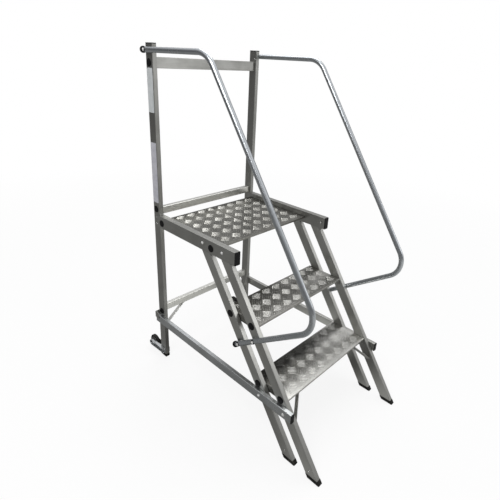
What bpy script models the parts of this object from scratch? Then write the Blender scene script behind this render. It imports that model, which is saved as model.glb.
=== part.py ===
"""Rolling warehouse ladder: aluminium platform ladder with twin front stiles, checker-plate treads,
bent tube handrails and two tilt-and-roll wheels behind the rear uprights.

Metres, +Z up. The climber faces +Y and steps up from the -Y side; left is -X and right is +X.
All Y values below are measured from the front face of the rear uprights. One empty moves the
whole ladder so that the origin lies on the floor, under the middle of its bounding box.
"""
import math

import bmesh
import bpy
from mathutils import Matrix, Vector

# ---- overall sizes ---------------------------------------------------------------------------
HEIGHT = 1.700               # floor to the top of the upright caps
FRAME_WIDTH = 0.677          # outside of the uprights and stiles
BASE_RUN = 1.121             # front face of the uprights to the toe of the front stiles
SLOPE = math.radians(54.9)   # climbing angle of the stiles
FIRST_STEP = 0.310           # floor to the lower tread
STEP_RISE = 0.280            # tread to tread, and tread to deck

# ---- aluminium sections ----------------------------------------------------------------------
SECTION_WIDTH = 0.024        # uprights and stiles, across the ladder
SECTION_DEPTH = 0.050        # the same sections, front to back
SECTION_WALL = 0.002
SECTION_CORNER = 0.002
CROSS_DEPTH = 0.025          # cross rails, front to back
TOP_RAIL_HEIGHT = 0.048
LOW_RAIL_HEIGHT = 0.038      # knee rail and bottom cross rail
GAP = 0.0003                 # between pieces that touch

# ---- rear frame ------------------------------------------------------------------------------
TOP_RAIL_DROP = 0.080        # top of the ladder to the middle of the top cross rail
KNEE_RAIL_CLEARANCE = 0.0005 # above the platform side rails
BOTTOM_CROSS_Z = 0.3305      # floor to the middle of the bottom cross rail
CAP_PLATE = 0.004            # visible plate of each plastic cap
CAP_SPIGOT = 0.014           # part of a cap or foot that sits inside its section
SPIGOT_FIT = 0.0003
BRACE_WIDTH = 0.020
BRACE_THICKNESS = 0.003
REAR_BRACE_REACH = 0.125     # along the cross rail, from the upright
REAR_BRACE_DROP = 0.100      # down the upright, from the cross rail

# ---- stiles, treads and deck -----------------------------------------------------------------
STILE_SPACING = 0.1107       # between the middles of the front and the rear stile
FOOT_PAD = 0.016             # rubber under the end of a stile or upright
FOOT_MARGIN = 0.0015         # rubber that stands out around the section
SHEET = 0.003                # checker plate
TREAD_DEPTH = 0.205
TREAD_LIP = 0.010            # turned-down front and rear edges
TREAD_FLANGE = 0.036         # turned-down ends that bolt to the stiles
TREAD_BRACE_REACH = 0.100
TREAD_BRACE_DROP = 0.105
DECK_DEPTH = 0.434
DECK_SEAM = 0.0010
DECK_BEARER_DEPTH = 0.030
DECK_BEARER_HEIGHT = 0.025
DECK_BEARER_INSET = 0.035    # from the deck's front and rear edges

# ---- platform side rails ---------------------------------------------------------------------
RAIL_HEIGHT = 0.063
RAIL_WALL = 0.003
RAIL_BELOW_DECK = 0.036      # deck top to the underside of the rail
RAIL_LENGTH = 0.570          # ahead of the uprights, with its cap
RAIL_LAP = 0.020             # side walls lapped over the uprights

# ---- bottom side rails -----------------------------------------------------------------------
BOTTOM_RAIL_WIDTH = 0.020    # across the ladder
BOTTOM_RAIL_HEIGHT = 0.045
BOTTOM_RAIL_Z = 0.265        # floor to the middle of the rail
BOTTOM_RAIL_FRONT = 0.959    # front of its cap, ahead of the uprights
BRACKET_SHEET = 0.003
BRACKET_Z = 0.288            # floor to the middle of the bracket
BRACKET_HEIGHT = 0.036
BRACKET_LEG = 0.030          # along the outside of the bottom side rail

# ---- handrails -------------------------------------------------------------------------------
TUBE_RADIUS = 0.012
TUBE_WALL = 0.002
STANDOFF = 0.003             # collar between the tube and the section behind it
HANDRAIL_TOP_DROP = 0.029    # top of the ladder to the axis of the top run
HANDRAIL_REACH = 0.370       # front face of the front stile to the axis of the sloping run
HANDRAIL_LOW_Z = 0.532       # where the lower run crosses the middle of the front stile
UPPER_BEND = 0.110           # bend radii, on the tube's axis
LOWER_BEND = 0.100
HANDRAIL_TAIL = 0.021        # tube past the middle of the upright
HANDRAIL_END = 0.029         # tube past the middle of the rear stile
PLUG_RADIUS = 0.014
PLUG_RIM = 0.0025            # straight edge, below the dome
PLUG_SHOULDER_RADIUS = 0.012
PLUG_SHOULDER = 0.00425
PLUG_CROWN_RADIUS = 0.007
PLUG_CROWN = 0.005
PLUG_SPIGOT = 0.015
STUD_RADIUS = 0.003
STUD_FIT = 0.0003
STUD_HEAD_RADIUS = 0.0065
STUD_CROWN_RADIUS = 0.004
STUD_HEAD = 0.0035
STUD_RIM = 0.00175           # straight edge of the head, below its chamfer
STUD_COLLAR_RADIUS = 0.009
STUD_NUT_RADIUS = 0.0055
STUD_NUT = 0.004

# ---- wheels ----------------------------------------------------------------------------------
WHEEL_RADIUS = 0.038
WHEEL_CLEAR = 0.003          # floor clearance while the ladder stands
WHEEL_BACK = 0.128           # axle behind the front face of the uprights
TYRE_WIDTH = 0.020
TYRE_DEPTH = 0.012
TYRE_SHOULDER = 0.0036
HUB_WIDTH = 0.0226
HUB_WEB = 0.006
HUB_RIM = 0.004
HUB_BOSS_RADIUS = 0.009
AXLE_RADIUS = 0.004
AXLE_FIT = 0.0003
AXLE_HEAD_RADIUS = 0.0075
AXLE_HEAD = 0.004
ARM_RADIUS = 0.017           # round end about the axle
ARM_WIDTH = 0.018            # flanges, out from the side of the upright
ARM_WALL = 0.003
ARM_LAP = 0.048              # arm lapped forward over the upright's outer face
ARM_FRONT_HEIGHT = 0.026
PLATE_THICKNESS = 0.003
PLATE_LAP = 0.048            # plate lapped forward over the upright's inner face

# ---- facets ----------------------------------------------------------------------------------
SMOOTH_ANGLE = 35            # degrees; sharper edges than this stay sharp
CORNER_STEPS = 2             # along each rounded corner of a section
UPPER_BEND_STEPS = 8
LOWER_BEND_STEPS = 12
TUBE_SIDES = 16
STUD_SIDES = 16
STUD_BORE_SIDES = 12
SMALL_SIDES = 20             # plugs and bolt heads
WHEEL_SIDES = 32
BORE_SIDES = 24
ARM_END_STEPS = 12

# ---- sizes that follow from the ones above ---------------------------------------------------
SIDES = (("left", -1), ("right", 1))
X_AXIS, Y_AXIS, Z_AXIS = Vector((1, 0, 0)), Vector((0, 1, 0)), Vector((0, 0, 1))
OUTER_X = FRAME_WIDTH / 2
INNER_X = OUTER_X - SECTION_WIDTH
MIDDLE_X = OUTER_X - SECTION_WIDTH / 2
UPRIGHT_Y = SECTION_DEPTH / 2
DECK_TOP = FIRST_STEP + 2 * STEP_RISE
RAIL_WIDTH = SECTION_WIDTH + 2 * (GAP + RAIL_WALL)
RAIL_BOTTOM = DECK_TOP - RAIL_BELOW_DECK
RAIL_TOP = RAIL_BOTTOM + RAIL_HEIGHT
RAIL_INNER_X = MIDDLE_X - RAIL_WIDTH / 2
BOTTOM_RAIL_X = OUTER_X + GAP + BOTTOM_RAIL_WIDTH / 2
UP_SLOPE = Vector((0, math.cos(SLOPE), math.sin(SLOPE)))      # along a stile, upwards
OFF_SLOPE = Vector((0, -math.sin(SLOPE), math.cos(SLOPE)))    # square to it, to the front and up
HANDRAIL_X = OUTER_X + STANDOFF + TUBE_RADIUS
HANDRAIL_Z = HEIGHT - HANDRAIL_TOP_DROP
AXLE_Z = WHEEL_RADIUS + WHEEL_CLEAR
HUB_RADIUS = WHEEL_RADIUS - TYRE_DEPTH - GAP
BACK_Y = WHEEL_BACK + WHEEL_RADIUS
FRONT_Y = -BASE_RUN - FOOT_MARGIN / math.sin(SLOPE)

for old in list(bpy.data.objects):
    bpy.data.objects.remove(old, do_unlink=True)

ladder = bpy.data.objects.new("ladder", None)
ladder.location = (0, -(BACK_Y + FRONT_Y) / 2, 0)
bpy.context.scene.collection.objects.link(ladder)


# ---- materials -------------------------------------------------------------------------------
def material(name, colour, roughness, metallic):
    mat = bpy.data.materials.new(name)
    mat.use_nodes = True
    shader = mat.node_tree.nodes["Principled BSDF"]
    shader.inputs["Base Color"].default_value = (*colour, 1)
    shader.inputs["Roughness"].default_value = roughness
    shader.inputs["Metallic"].default_value = metallic
    mat.diffuse_color = (*colour, 1)
    return mat


ALUMINIUM = material("aluminium", (0.58, 0.58, 0.56), 0.38, 1.0)
CHECKER = material("checker_plate", (0.66, 0.65, 0.62), 0.28, 1.0)
TUBE = material("handrail_tube", (0.66, 0.67, 0.68), 0.30, 1.0)
STEEL = material("zinc_steel", (0.62, 0.62, 0.62), 0.30, 1.0)
PLASTIC = material("black_plastic", (0.02, 0.02, 0.022), 0.45, 0.0)
RUBBER = material("black_rubber", (0.025, 0.025, 0.025), 0.75, 0.0)
NYLON = material("grey_nylon", (0.20, 0.20, 0.20), 0.50, 0.0)


# ---- modelling helpers -----------------------------------------------------------------------
def make(name, bm, mat, smooth_degrees=0):
    """Closes a bmesh into a named object that hangs on the ladder's empty."""
    bmesh.ops.recalc_face_normals(bm, faces=bm.faces)
    mesh = bpy.data.meshes.new(name)
    bm.to_mesh(mesh)
    bm.free()
    mesh.materials.append(mat)
    if smooth_degrees:
        mesh.shade_smooth()
        mesh.set_sharp_from_angle(angle=math.radians(smooth_degrees))
    obj = bpy.data.objects.new(name, mesh)
    obj.parent = ladder
    bpy.context.scene.collection.objects.link(obj)
    return obj


def bridge(bm, first, second):
    """Quads between two rings of equal length."""
    count = len(first)
    for i in range(count):
        j = (i + 1) % count
        bm.faces.new((first[i], first[j], second[j], second[i]))


def rounded_rectangle(width, depth, radius):
    """Outline in (u, v) with a few points on each rounded corner."""
    points = []
    centres = ((1, 1), (-1, 1), (-1, -1), (1, -1))
    for quarter, (su, sv) in enumerate(centres):
        for step in range(CORNER_STEPS + 1):
            angle = math.pi / 2 * (quarter + step / CORNER_STEPS)
            points.append((su * (width / 2 - radius) + radius * math.cos(angle),
                           sv * (depth / 2 - radius) + radius * math.sin(angle)))
    return points


def shrink(width, depth, inset):
    """Outline of the section's bore, or of a spigot inside it."""
    return rounded_rectangle(width - 2 * inset, depth - 2 * inset, SECTION_CORNER / 2)


def ring(bm, outline, base, u_axis, v_axis, along, level_point, level_normal):
    """One ring of a bar: every outline point slides along the bar to a cutting plane."""
    verts = []
    for u, v in outline:
        point = base + u_axis * u + v_axis * v
        slide = (level_point - point).dot(level_normal) / along.dot(level_normal)
        verts.append(bm.verts.new(point + along * slide))
    return verts


def bar(name, width, depth, base, u_axis, v_axis, ends, mat, wall=SECTION_WALL):
    """Hollow section, open at both ends. ends is two (point, normal) cutting planes."""
    along = u_axis.cross(v_axis)
    outer_outline = rounded_rectangle(width, depth, SECTION_CORNER)
    inner_outline = shrink(width, depth, wall)
    bm = bmesh.new()
    outer = [ring(bm, outer_outline, base, u_axis, v_axis, along, *cut) for cut in ends]
    inner = [ring(bm, inner_outline, base, u_axis, v_axis, along, *cut) for cut in ends]
    bridge(bm, outer[0], outer[1])
    bridge(bm, inner[1], inner[0])
    bridge(bm, inner[0], outer[0])
    bridge(bm, outer[1], inner[1])
    return make(name, bm, mat, SMOOTH_ANGLE)


def stack(name, rings, mat):
    """Solid made of rings laid one after another, closed at both ends.

    rings holds (outline, base, u_axis, v_axis, along, point, normal).
    """
    bm = bmesh.new()
    loops = [ring(bm, *entry) for entry in rings]
    for lower, upper in zip(loops, loops[1:]):
        bridge(bm, lower, upper)
    bm.faces.new(loops[0])
    bm.faces.new(loops[-1])
    return make(name, bm, mat, SMOOTH_ANGLE)


def grid_solid(name, boxes, mat):
    """Union of axis-aligned boxes that share walls, as one closed skin.

    The boxes cut space into cells; a face is made wherever a filled cell meets an empty one.
    """
    cuts = [sorted({round(box[end][axis], 7) for box in boxes for end in (0, 1)})
            for axis in range(3)]
    filled = set()
    for i, j, k in ((i, j, k) for i in range(len(cuts[0]) - 1) for j in range(len(cuts[1]) - 1)
                    for k in range(len(cuts[2]) - 1)):
        middle = [(cuts[a][n] + cuts[a][n + 1]) / 2 for a, n in enumerate((i, j, k))]
        if any(all(low[a] < middle[a] < high[a] for a in range(3)) for low, high in boxes):
            filled.add((i, j, k))
    bm = bmesh.new()
    verts = {}

    def corner(key):
        if key not in verts:
            verts[key] = bm.verts.new([cuts[a][key[a]] for a in range(3)])
        return verts[key]

    for cell in filled:
        for axis in range(3):
            for side in (0, 1):
                neighbour = list(cell)
                neighbour[axis] += 2 * side - 1
                if tuple(neighbour) in filled:
                    continue
                face = []
                for du, dv in ((0, 0), (1, 0), (1, 1), (0, 1)):
                    key = list(cell)
                    key[axis] += side
                    key[(axis + 1) % 3] += du
                    key[(axis + 2) % 3] += dv
                    face.append(corner(tuple(key)))
                bm.faces.new(face)
    bmesh.ops.recalc_face_normals(bm, faces=bm.faces)
    bmesh.ops.dissolve_limit(bm, angle_limit=math.radians(1), verts=bm.verts, edges=bm.edges)
    return make(name, bm, mat)


def turned(name, profile, sides, centre, axis, mat, closed=False):
    """Turns (radius, distance) points about an axis. closed joins the last point to the first."""
    frame = axis.to_track_quat("Z", "Y").to_matrix()
    bm = bmesh.new()
    loops = []
    for radius, distance in profile:
        loops.append([bm.verts.new(centre + frame @ Vector((
            radius * math.cos(2 * math.pi * i / sides),
            radius * math.sin(2 * math.pi * i / sides), distance))) for i in range(sides)])
    pairs = list(zip(loops, loops[1:]))
    if closed:
        pairs.append((loops[-1], loops[0]))
    else:
        bm.faces.new(loops[0])
        bm.faces.new(loops[-1])
    for lower, upper in pairs:
        bridge(bm, lower, upper)
    return make(name, bm, mat, SMOOTH_ANGLE)


def drill(target, centre, axis, radius, length, sides=BORE_SIDES):
    """Cuts a round hole through a target with a hidden cutter."""
    subtract(target, turned(target.name + "_drill", ((radius, -length / 2), (radius, length / 2)),
                            sides, centre, axis, STEEL))


def subtract(target, cutter):
    """Cuts one solid out of another and hides the cutter."""
    cutter.hide_render = True
    cutter.display_type = "WIRE"
    cut = target.modifiers.new("cut", "BOOLEAN")
    cut.operation = "DIFFERENCE"
    cut.solver = "EXACT"
    cut.object = cutter


# ---- places on the stiles --------------------------------------------------------------------
TOE = Vector((0, -BASE_RUN, 0))
FRONT_OFF = -SECTION_DEPTH / 2                     # middle of a stile, off the toe line
STILES = (("front", FRONT_OFF), ("rear", FRONT_OFF - STILE_SPACING))


def on_slope(off, height):
    """Point at a height on the line that lies 'off' the toe line, square to the slope."""
    start = TOE + OFF_SLOPE * off
    return start + UP_SLOPE * ((height - start.z) / UP_SLOPE.z)


def level(height):
    return Vector((0, 0, height)), Z_AXIS


# ---- rear frame ------------------------------------------------------------------------------
def build_rear_frame():
    for side_name, side in SIDES:
        base = Vector((side * MIDDLE_X, UPRIGHT_Y, 0))
        top = HEIGHT - CAP_PLATE - GAP
        bar("upright_" + side_name, SECTION_WIDTH, SECTION_DEPTH, base, X_AXIS, Y_AXIS,
            (level(FOOT_PAD + GAP), level(top)), ALUMINIUM)
        plate = rounded_rectangle(SECTION_WIDTH, SECTION_DEPTH, SECTION_CORNER)
        spigot = shrink(SECTION_WIDTH, SECTION_DEPTH, SECTION_WALL + SPIGOT_FIT)
        column = (base, X_AXIS, Y_AXIS, Z_AXIS)
        stack("upright_cap_" + side_name,
              [(spigot, *column, *level(top - CAP_SPIGOT)),
               (spigot, *column, *level(HEIGHT - CAP_PLATE)),
               (plate, *column, *level(HEIGHT - CAP_PLATE)),
               (plate, *column, *level(HEIGHT))], PLASTIC)
        build_foot("upright_foot_" + side_name, base, Y_AXIS, Z_AXIS)
    span = INNER_X - GAP
    rails = (("top_cross_rail", HEIGHT - TOP_RAIL_DROP, TOP_RAIL_HEIGHT),
             ("knee_rail", RAIL_TOP + KNEE_RAIL_CLEARANCE + LOW_RAIL_HEIGHT / 2, LOW_RAIL_HEIGHT),
             ("bottom_cross_rail", BOTTOM_CROSS_Z, LOW_RAIL_HEIGHT))
    for name, height, rail_height in rails:
        bar(name, CROSS_DEPTH, rail_height, Vector((0, UPRIGHT_Y, height)), Y_AXIS, Z_AXIS,
            ((Vector((-span, 0, 0)), X_AXIS), (Vector((span, 0, 0)), X_AXIS)), ALUMINIUM)
    underside = BOTTOM_CROSS_Z - LOW_RAIL_HEIGHT / 2 - GAP
    for side_name, side in SIDES:
        build_brace("rear_brace_" + side_name, side, underside,
                    Vector((side * (INNER_X - REAR_BRACE_REACH), UPRIGHT_Y, underside)),
                    Vector((side * INNER_X, UPRIGHT_Y, underside - REAR_BRACE_DROP)), Y_AXIS)


def build_brace(name, side, ceiling, start, end, across):
    """Flat bar cut to sit under one piece and against the inner face of a section."""
    along = (end - start).normalized()
    face = along.cross(across).normalized()
    bm = bmesh.new()
    upper, lower = [], []
    wall = side * (INNER_X - GAP)
    for su, sf in ((-1, -1), (1, -1), (1, 1), (-1, 1)):
        point = start + across * (su * BRACE_WIDTH / 2) + face * (sf * BRACE_THICKNESS / 2)
        upper.append(bm.verts.new(point + along * ((ceiling - point.z) / along.z)))
        lower.append(bm.verts.new(point + along * ((wall - point.x) / along.x)))
    bridge(bm, upper, lower)
    bm.faces.new(upper)
    bm.faces.new(lower)
    return make(name, bm, ALUMINIUM)


def build_foot(name, base, depth_axis, along):
    """Rubber pad, cut level with the floor, with a spigot up inside the section."""
    pad = rounded_rectangle(SECTION_WIDTH + 2 * FOOT_MARGIN, SECTION_DEPTH + 2 * FOOT_MARGIN,
                            SECTION_CORNER + FOOT_MARGIN)
    spigot = shrink(SECTION_WIDTH, SECTION_DEPTH, SECTION_WALL + SPIGOT_FIT)
    column = (base, X_AXIS, depth_axis, along)
    stack(name, [(pad, *column, *level(0)), (pad, *column, *level(FOOT_PAD)),
                 (spigot, *column, *level(FOOT_PAD)),
                 (spigot, *column, *level(FOOT_PAD + CAP_SPIGOT))], RUBBER)


# ---- stiles ----------------------------------------------------------------------------------
def build_stiles():
    depth_axis = -OFF_SLOPE
    for side_name, side in SIDES:
        for stile_name, off in STILES:
            base = on_slope(off, 0) + X_AXIS * (side * MIDDLE_X)
            name = stile_name + "_stile_" + side_name
            bar(name, SECTION_WIDTH, SECTION_DEPTH, base, X_AXIS, depth_axis,
                (level(FOOT_PAD + GAP), level(RAIL_TOP - RAIL_WALL - GAP)), ALUMINIUM)
            build_foot(stile_name + "_foot_" + side_name, base, depth_axis, UP_SLOPE)


# ---- treads and deck -------------------------------------------------------------------------
def build_treads():
    end_x = INNER_X - GAP
    for name, top in (("lower_tread", FIRST_STEP), ("middle_tread", FIRST_STEP + STEP_RISE)):
        front = on_slope(0, top).y
        back = front + TREAD_DEPTH
        flange_bottom = top - TREAD_FLANGE
        flange_back = on_slope(-STILE_SPACING - SECTION_DEPTH, flange_bottom).y
        boxes = [((-end_x, front, top - SHEET), (end_x, back, top)),
                 ((-end_x, front, top - TREAD_LIP), (end_x, front + SHEET, top)),
                 ((-end_x, back - SHEET, top - TREAD_LIP), (end_x, back, top))]
        for side_name, side in SIDES:
            near, far = sorted((side * end_x, side * (end_x - SHEET)))
            boxes.append(((near, front, flange_bottom), (far, flange_back, top)))
        grid_solid(name, boxes, CHECKER)


def build_tread_braces():
    ceiling = FIRST_STEP - SHEET - GAP
    for side_name, side in SIDES:
        start = on_slope(FRONT_OFF, ceiling) + X_AXIS * (side * (INNER_X - TREAD_BRACE_REACH))
        end = on_slope(FRONT_OFF, ceiling - TREAD_BRACE_DROP) + X_AXIS * (side * INNER_X)
        build_brace("tread_brace_" + side_name, side, ceiling, start, end, OFF_SLOPE)


def build_deck():
    end_x = RAIL_INNER_X - GAP
    for side_name, side in SIDES:
        low, high = sorted((side * end_x, side * DECK_SEAM / 2))
        lip = DECK_TOP - TREAD_LIP
        grid_solid("deck_plank_" + side_name, [
            ((low, -DECK_DEPTH, DECK_TOP - SHEET), (high, 0, DECK_TOP)),
            ((low, -DECK_DEPTH, lip), (high, SHEET - DECK_DEPTH, DECK_TOP)),
            ((low, -SHEET, lip), (high, 0, DECK_TOP))], CHECKER)
    height = DECK_TOP - SHEET - GAP - DECK_BEARER_HEIGHT / 2
    inset = DECK_BEARER_INSET + DECK_BEARER_DEPTH / 2
    for name, y in (("deck_bearer_front", inset - DECK_DEPTH), ("deck_bearer_rear", -inset)):
        bar(name, DECK_BEARER_DEPTH, DECK_BEARER_HEIGHT, Vector((0, y, height)), Y_AXIS, Z_AXIS,
            ((Vector((-end_x, 0, 0)), X_AXIS), (Vector((end_x, 0, 0)), X_AXIS)), ALUMINIUM)


# ---- platform side rails ---------------------------------------------------------------------
def build_platform_rails():
    front = -RAIL_LENGTH + CAP_PLATE + GAP
    for side_name, side in SIDES:
        low, high = MIDDLE_X - RAIL_WIDTH / 2, MIDDLE_X + RAIL_WIDTH / 2
        walls = [((low, front, RAIL_BOTTOM), (low + RAIL_WALL, RAIL_LAP, RAIL_TOP)),
                 ((high - RAIL_WALL, front, RAIL_BOTTOM), (high, RAIL_LAP, RAIL_TOP)),
                 ((low, front, RAIL_TOP - RAIL_WALL), (high, -GAP, RAIL_TOP))]
        grid_solid("platform_rail_" + side_name, mirrored(walls, side), ALUMINIUM)
        outline = rounded_rectangle(RAIL_WIDTH, RAIL_HEIGHT, SECTION_CORNER)
        base = Vector((side * MIDDLE_X, 0, RAIL_BOTTOM + RAIL_HEIGHT / 2))
        column = (outline, base, X_AXIS, Z_AXIS, Y_AXIS)
        stack("platform_rail_cap_" + side_name,
              [(*column, Vector((0, -RAIL_LENGTH, 0)), Y_AXIS),
               (*column, Vector((0, CAP_PLATE - RAIL_LENGTH, 0)), Y_AXIS)], PLASTIC)


def mirrored(boxes, side):
    """Boxes modelled on the right, moved to the side asked for."""
    if side > 0:
        return boxes
    return [((-high[0], low[1], low[2]), (-low[0], high[1], high[2])) for low, high in boxes]


# ---- bottom side rails -----------------------------------------------------------------------
def build_bottom_rails():
    front = -BOTTOM_RAIL_FRONT + CAP_PLATE + GAP
    plate = rounded_rectangle(BOTTOM_RAIL_WIDTH, BOTTOM_RAIL_HEIGHT, SECTION_CORNER)
    spigot = shrink(BOTTOM_RAIL_WIDTH, BOTTOM_RAIL_HEIGHT, SECTION_WALL + SPIGOT_FIT)
    for side_name, side in SIDES:
        base = Vector((side * BOTTOM_RAIL_X, 0, BOTTOM_RAIL_Z))
        bar("bottom_rail_" + side_name, BOTTOM_RAIL_WIDTH, BOTTOM_RAIL_HEIGHT, base, X_AXIS,
            Z_AXIS, ((Vector((0, SECTION_DEPTH, 0)), Y_AXIS), (Vector((0, front, 0)), Y_AXIS)),
            ALUMINIUM)
        column = (base, X_AXIS, Z_AXIS, -Y_AXIS)
        cuts = [(spigot, front + CAP_SPIGOT), (spigot, CAP_PLATE - BOTTOM_RAIL_FRONT),
                (plate, CAP_PLATE - BOTTOM_RAIL_FRONT), (plate, -BOTTOM_RAIL_FRONT)]
        stack("bottom_rail_cap_" + side_name,
              [(outline, *column, Vector((0, y, 0)), Y_AXIS) for outline, y in cuts], PLASTIC)
        outside = OUTER_X + GAP + BOTTOM_RAIL_WIDTH + GAP
        back = SECTION_DEPTH + GAP
        low, high = BRACKET_Z - BRACKET_HEIGHT / 2, BRACKET_Z + BRACKET_HEIGHT / 2
        walls = [((INNER_X, back, low), (outside + BRACKET_SHEET, back + BRACKET_SHEET, high)),
                 ((outside, back - BRACKET_LEG, low),
                  (outside + BRACKET_SHEET, back + BRACKET_SHEET, high))]
        grid_solid("rail_bracket_" + side_name, mirrored(walls, side), ALUMINIUM)


# ---- handrails -------------------------------------------------------------------------------
def handrail_path(side):
    """Axis of the tube: top run, upper bend, sloping run, lower bend, lower run."""
    slope_start = on_slope(HANDRAIL_REACH, HANDRAIL_Z)
    cross_front = on_slope(FRONT_OFF, HANDRAIL_LOW_Z)
    corner = cross_front + OFF_SLOPE * (HANDRAIL_REACH - FRONT_OFF)
    cross_rear = cross_front - OFF_SLOPE * STILE_SPACING
    start = Vector((0, UPRIGHT_Y + HANDRAIL_TAIL, HANDRAIL_Z))
    finish = cross_rear - OFF_SLOPE * HANDRAIL_END
    points = [start]
    points += bend(start, slope_start, corner, UPPER_BEND, UPPER_BEND_STEPS)
    points += bend(slope_start, corner, finish, LOWER_BEND, LOWER_BEND_STEPS)
    points.append(finish)
    shift = X_AXIS * (side * HANDRAIL_X)
    return [point + shift for point in points], cross_front + shift, cross_rear + shift


def bend(before, corner, after, radius, steps):
    """Points on the arc that rounds a corner."""
    inward, outward = (before - corner).normalized(), (after - corner).normalized()
    turn = math.pi - inward.angle(outward)
    reach = radius * math.tan(turn / 2)
    first = corner + inward * reach
    centre_way = (inward + outward).normalized()
    centre = corner + centre_way * (radius / math.cos(turn / 2))
    arm = first - centre
    axis = (-inward).cross(outward).normalized()
    return [centre + Matrix.Rotation(turn * i / steps, 3, axis) @ arm for i in range(steps + 1)]


def build_handrails():
    for side_name, side in SIDES:
        path, cross_front, cross_rear = handrail_path(side)
        tube = sweep("handrail_" + side_name, path)
        upright_stud = Vector((side * HANDRAIL_X, UPRIGHT_Y, HANDRAIL_Z))
        studs = (("upper", upright_stud), ("front", cross_front), ("rear", cross_rear))
        for stud_name, centre in studs:
            drill(tube, centre, X_AXIS, STUD_RADIUS + STUD_FIT, 4 * TUBE_RADIUS, STUD_BORE_SIDES)
            section = {"upper": "upright_", "front": "front_stile_", "rear": "rear_stile_"}
            wall = Vector((side * OUTER_X, centre.y, centre.z))
            drill(bpy.data.objects[section[stud_name] + side_name], wall, X_AXIS,
                  STUD_RADIUS + STUD_FIT, SECTION_WIDTH, STUD_BORE_SIDES)
            build_stud("handrail_stud_" + stud_name + "_" + side_name, centre, side)
        for end_name, tip, before in (("upper", path[0], path[1]), ("lower", path[-1], path[-2])):
            build_plug("handrail_plug_" + end_name + "_" + side_name, tip,
                       (tip - before).normalized())


def sweep(name, path):
    """Hollow tube along a path that lies in a plane of constant X."""
    bm = bmesh.new()
    outer, inner = [], []
    for i, point in enumerate(path):
        ahead = path[min(i + 1, len(path) - 1)] - point
        behind = point - path[max(i - 1, 0)]
        tangent = (ahead.normalized() + behind.normalized()).normalized()
        normal = X_AXIS.cross(tangent)
        stretch = 1 / max(math.cos(ahead.angle(behind, 0) / 2), 0.5)
        for loops, radius in ((outer, TUBE_RADIUS), (inner, TUBE_RADIUS - TUBE_WALL)):
            loops.append([bm.verts.new(
                point + X_AXIS * (radius * math.cos(2 * math.pi * n / TUBE_SIDES))
                + normal * (stretch * radius * math.sin(2 * math.pi * n / TUBE_SIDES)))
                for n in range(TUBE_SIDES)])
    for first, second in zip(outer, outer[1:]):
        bridge(bm, first, second)
    for first, second in zip(inner, inner[1:]):
        bridge(bm, first, second)
    bridge(bm, outer[0], inner[0])
    bridge(bm, outer[-1], inner[-1])
    return make(name, bm, TUBE, SMOOTH_ANGLE)


def build_stud(name, centre, side):
    """Shouldered stud: head outside the tube, collar behind it, nut inside the section."""
    profile = []
    outside, behind = TUBE_RADIUS + GAP, -TUBE_RADIUS - GAP
    wall = -TUBE_RADIUS - STANDOFF + GAP
    bore = -TUBE_RADIUS - STANDOFF - SECTION_WALL - GAP
    for radius, distance in ((STUD_CROWN_RADIUS, outside + STUD_HEAD),
                             (STUD_HEAD_RADIUS, outside + STUD_RIM),
                             (STUD_HEAD_RADIUS, outside), (STUD_RADIUS, outside),
                             (STUD_RADIUS, behind), (STUD_COLLAR_RADIUS, behind),
                             (STUD_COLLAR_RADIUS, wall), (STUD_RADIUS, wall),
                             (STUD_RADIUS, bore), (STUD_NUT_RADIUS, bore),
                             (STUD_NUT_RADIUS, bore - STUD_NUT)):
        profile.append((radius, distance))
    turned(name, profile, STUD_SIDES, centre, X_AXIS * side, STEEL)


def build_plug(name, tip, outward):
    """Domed plastic plug pressed into the end of a handrail tube."""
    spigot = TUBE_RADIUS - TUBE_WALL - SPIGOT_FIT
    profile = ((spigot, -PLUG_SPIGOT), (spigot, GAP), (PLUG_RADIUS, GAP),
               (PLUG_RADIUS, GAP + PLUG_RIM), (PLUG_SHOULDER_RADIUS, GAP + PLUG_SHOULDER),
               (PLUG_CROWN_RADIUS, GAP + PLUG_CROWN))
    turned(name, profile, SMALL_SIDES, tip, outward, PLASTIC)


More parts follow.
